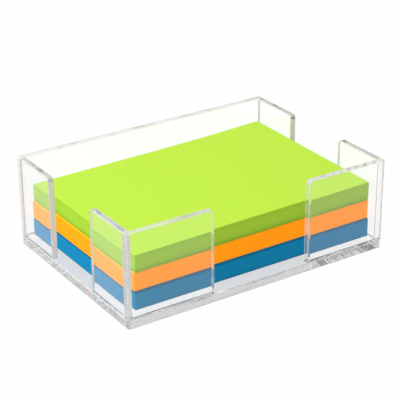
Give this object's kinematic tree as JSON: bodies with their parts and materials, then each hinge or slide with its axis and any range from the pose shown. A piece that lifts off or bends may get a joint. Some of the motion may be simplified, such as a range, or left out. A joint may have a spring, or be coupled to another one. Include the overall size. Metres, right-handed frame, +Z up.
{
  "type": "memo pad tray",
  "caption": "Open desk tray of clear acrylic with finger gaps in its front and both sides, holding a stack of coloured memo pads that lift out.",
  "frame": {"origin": "centre of the tray's underside, which rests on the desk", "axes": "+X along the long side to the right, +Y to the closed back wall, +Z up; the open front faces -Y"},
  "size_m": [0.16, 0.115, 0.052],
  "materials": {
    "clear_acrylic": "clear cast acrylic with polished edges",
    "blue_paper": "uncoated coloured note paper",
    "orange_paper": "uncoated coloured note paper",
    "green_paper": "uncoated coloured note paper"
  },
  "bodies": {
    "tray": {"base_plate": "clear_acrylic", "back_panel": "clear_acrylic", "left_back_panel": "clear_acrylic", "left_front_panel": "clear_acrylic", "right_back_panel": "clear_acrylic", "right_front_panel": "clear_acrylic", "front_left_panel": "clear_acrylic", "front_right_panel": "clear_acrylic"},
    "blue_pad": {"blue_pad": "blue_paper"},
    "orange_pad": {"orange_pad": "orange_paper"},
    "green_pad": {"green_pad": "green_paper"}
  },
  "joints": [
    {"name": "blue_pad_lift", "type": "slide", "parent": "tray", "child": "blue_pad", "axis": [0, 0, 1], "range_m": [0, 0.06]},
    {"name": "orange_pad_lift", "type": "slide", "parent": "blue_pad", "child": "orange_pad", "axis": [0, 0, 1], "range_m": [0, 0.05]},
    {"name": "green_pad_lift", "type": "slide", "parent": "orange_pad", "child": "green_pad", "axis": [0, 0, 1], "range_m": [0, 0.04]}
  ]
}
